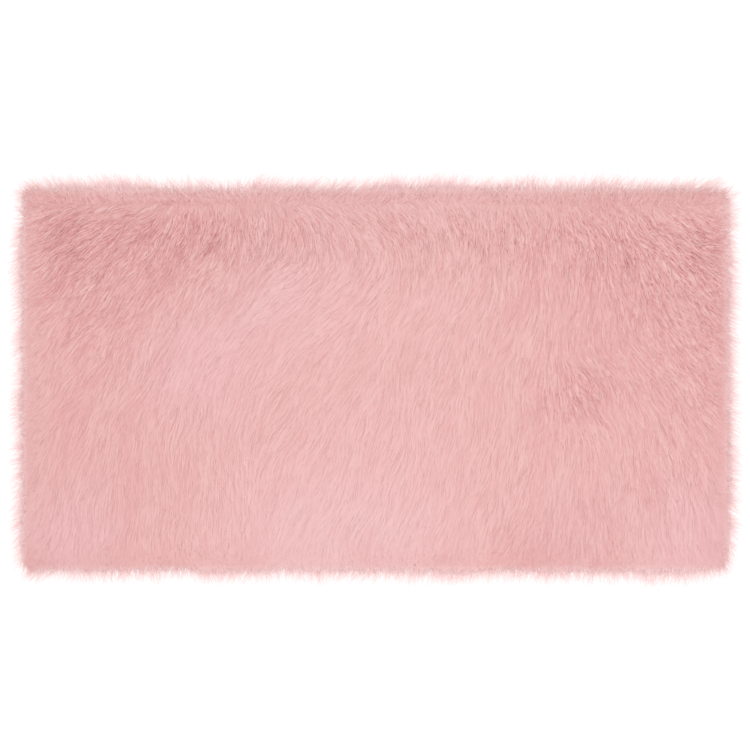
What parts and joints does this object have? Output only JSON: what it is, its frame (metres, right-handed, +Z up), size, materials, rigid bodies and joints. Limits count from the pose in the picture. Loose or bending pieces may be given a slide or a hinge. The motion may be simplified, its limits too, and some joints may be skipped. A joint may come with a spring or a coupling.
{
  "type": "faux sheepskin rug",
  "caption": "Rectangular faux fur rug lying flat: a low mound of long combed pile with round shoulders, fine locks of fur round its rim and a flat underside.",
  "frame": {"origin": "on the floor under the middle of the rug", "axes": "+X along the rug's length, +Y across it, +Z up out of the floor"},
  "size_m": [1.1386, 0.6372, 0.0352],
  "materials": {
    "pink_faux_fur": "soft long pile in blush pink, matt with a faint sheen along the strands"
  },
  "bodies": {
    "root": {"fur_rug": "pink_faux_fur"}
  },
  "joints": []
}
